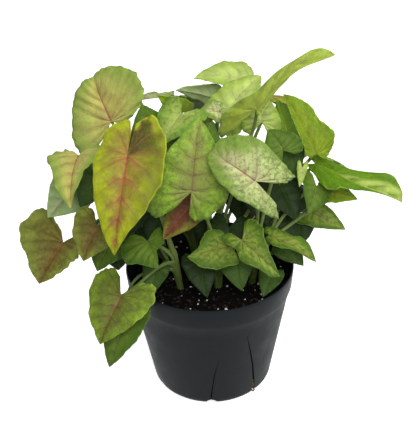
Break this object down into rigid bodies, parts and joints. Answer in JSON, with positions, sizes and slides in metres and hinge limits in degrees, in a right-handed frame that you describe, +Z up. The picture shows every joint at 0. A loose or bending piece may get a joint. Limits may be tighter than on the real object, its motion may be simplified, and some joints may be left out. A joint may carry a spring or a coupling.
{
  "type": "potted arrowhead plant",
  "caption": "Bushy foliage plant with arrow-shaped blades on long arching stalks, growing from short stems in the soil of a round tapered nursery pot.",
  "frame": {"origin": "centre of the pot's flat underside", "axes": "+Z up along the pot's axis, +X to the right and -Y to the front of the plant"},
  "size_m": [0.3339, 0.2367, 0.3366],
  "materials": {
    "pot": "moulded black plastic with a soft sheen",
    "soil": "damp dark potting mix",
    "stalk": "smooth waxy green",
    "lime": "soft satin leaf, yellow green",
    "pale": "soft satin leaf, cream marbled with green",
    "blush": "soft satin leaf, olive with a pink blush",
    "deep": "soft satin leaf, deep green",
    "rose": "soft satin young leaf, rose"
  },
  "bodies": {
    "root": {"pot": "pot", "soil": "soil", "stalks_a": "stalk", "stalks_b": "stalk", "stalks_c": "stalk", "stalks_d": "stalk", "stalks_e": "stalk", "stalks_f": "stalk", "stalks_g": "stalk", "leaf_01": "lime", "leaf_02": "pale", "leaf_03": "pale", "leaf_04": "blush", "leaf_05": "blush", "leaf_06": "lime", "leaf_07": "lime", "leaf_08": "blush", "leaf_09": "blush", "leaf_10": "pale", "leaf_11": "pale", "leaf_12": "pale", "leaf_13": "rose", "leaf_14": "pale", "leaf_15": "lime", "leaf_16": "pale", "leaf_17": "pale", "leaf_18": "pale", "leaf_19": "lime", "leaf_20": "pale", "leaf_21": "pale", "leaf_22": "pale", "leaf_23": "lime", "leaf_24": "deep", "leaf_25": "pale", "leaf_26": "lime", "leaf_27": "pale", "leaf_28": "pale", "leaf_29": "deep", "leaf_30": "deep", "leaf_31": "blush", "leaf_32": "deep", "leaf_33": "pale", "leaf_34": "pale", "leaf_35": "deep", "leaf_36": "deep", "leaf_37": "deep", "leaf_38": "deep", "leaf_39": "pale", "leaf_40": "pale", "leaf_41": "lime", "leaf_42": "blush", "leaf_43": "pale", "leaf_44": "pale", "leaf_45": "pale", "leaf_46": "pale", "leaf_47": "deep", "leaf_48": "deep", "leaf_49": "deep", "leaf_50": "pale"}
  },
  "joints": []
}
